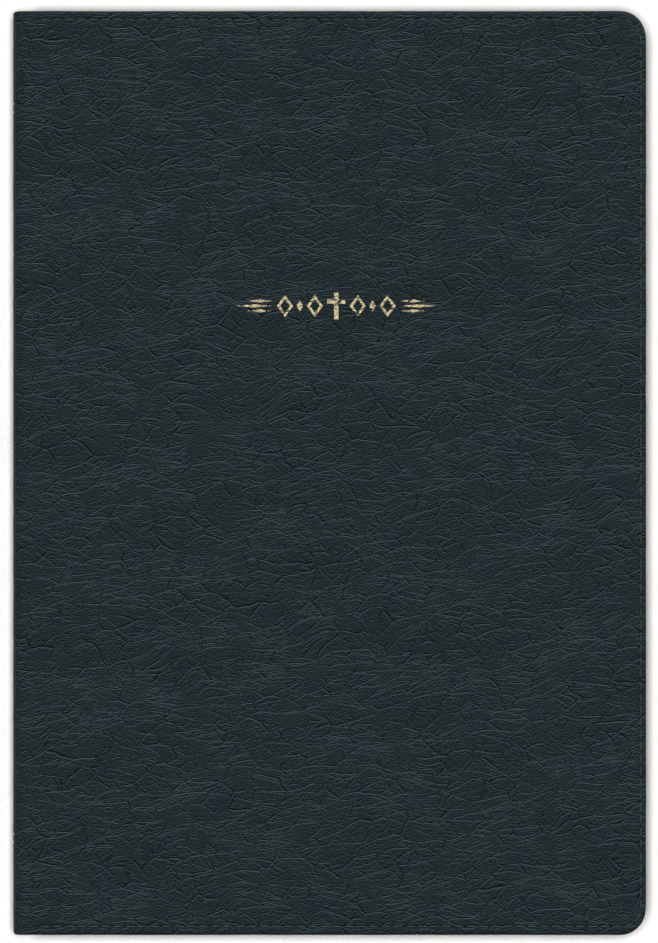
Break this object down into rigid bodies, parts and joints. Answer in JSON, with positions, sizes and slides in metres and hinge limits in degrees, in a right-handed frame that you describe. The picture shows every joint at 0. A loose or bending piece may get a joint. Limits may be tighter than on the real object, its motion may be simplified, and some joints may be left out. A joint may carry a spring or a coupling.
{
  "type": "bible",
  "caption": "Leather-bound bible with stitched covers, sewn text block, headbands, ribbon marker and covers and pages that open.",
  "frame": {"origin": "middle of the underside of the closed book, on the surface that it lies on", "axes": "+Z from back cover to front cover, +Y from tail to head, +X from spine to fore edge"},
  "size_m": [0.1656, 0.2414, 0.038],
  "materials": {
    "page_paper": "thin uncoated bible paper with gilt edges",
    "endpaper": "heavier cream endpaper",
    "leather": "charcoal bonded leather with long creases",
    "board": "solid grey board and spine paper",
    "mull": "open cotton cloth",
    "linen_thread": "waxed linen thread",
    "stitching": "bonded polyester thread",
    "band_silk": "worked silk bands in gold and black",
    "ribbon": "burgundy satin ribbon",
    "gold_foil": "stamped gold foil"
  },
  "bodies": {
    "back_cover": {"back_cover_board": "board", "back_cover_leather": "leather", "back_cover_stitching": "stitching", "back_mull_flange": "mull", "back_pastedown": "endpaper"},
    "back_half": {"back_blank_leaf": "endpaper", "back_free_endpaper": "endpaper", "back_headband": "band_silk", "back_sewing_thread": "linen_thread", "back_spine_leather": "leather", "back_spine_lining": "board", "back_spine_mull": "mull", "back_spine_rules": "gold_foil", "back_tailband": "band_silk", "signature_15": "page_paper", "signature_16": "page_paper", "signature_17": "page_paper", "signature_18": "page_paper", "signature_19": "page_paper", "signature_20": "page_paper", "signature_21": "page_paper", "signature_22": "page_paper", "signature_23": "page_paper", "signature_24": "page_paper", "signature_25": "page_paper", "signature_26": "page_paper", "signature_27": "page_paper", "signature_28": "page_paper"},
    "front_half": {"front_blank_leaf": "endpaper", "front_free_endpaper": "endpaper", "front_headband": "band_silk", "front_sewing_thread": "linen_thread", "front_spine_leather": "leather", "front_spine_lining": "board", "front_spine_mull": "mull", "front_spine_rules": "gold_foil", "front_tailband": "band_silk", "signature_01": "page_paper", "signature_02": "page_paper", "signature_03": "page_paper", "signature_04": "page_paper", "signature_05": "page_paper", "signature_06": "page_paper", "signature_07": "page_paper", "signature_08": "page_paper", "signature_09": "page_paper", "signature_10": "page_paper", "signature_11": "page_paper", "signature_12": "page_paper", "signature_13": "page_paper", "signature_14": "page_paper"},
    "front_cover": {"front_cover_board": "board", "front_cover_leather": "leather", "front_cover_ornament": "gold_foil", "front_cover_stitching": "stitching", "front_mull_flange": "mull", "front_pastedown": "endpaper"},
    "right_leaf": {"ribbon_marker": "ribbon", "right_opening_leaf": "page_paper"},
    "left_leaf": {"left_opening_leaf": "page_paper"}
  },
  "joints": [
    {"name": "back_cover_hinge", "type": "hinge", "parent": "back_cover", "child": "back_half", "pos_m": [-0.0788, 0, -0.0018], "axis": [0, -1, 0], "range_deg": [0, 179.5]},
    {"name": "book_opening", "type": "hinge", "parent": "back_half", "child": "front_half", "pos_m": [-0.08295, 0, 0.019], "axis": [0, -1, 0], "range_deg": [0, 179.5]},
    {"name": "front_cover_hinge", "type": "hinge", "parent": "front_half", "child": "front_cover", "pos_m": [-0.0788, 0, 0.0383], "axis": [0, -1, 0], "range_deg": [0, 179.5]},
    {"name": "right_leaf_turn", "type": "hinge", "parent": "back_half", "child": "right_leaf", "pos_m": [-0.08295, 0, 0.019], "axis": [0, -1, 0], "range_deg": [0, 6]},
    {"name": "left_leaf_turn", "type": "hinge", "parent": "back_half", "child": "left_leaf", "pos_m": [-0.08295, 0, 0.019], "axis": [0, -1, 0], "range_deg": [0, 174]}
  ],
  "couplings": [
    {"joint": "right_leaf_turn", "follows": "book_opening", "ratio": 0.03},
    {"joint": "left_leaf_turn", "follows": "book_opening", "ratio": 0.96}
  ]
}
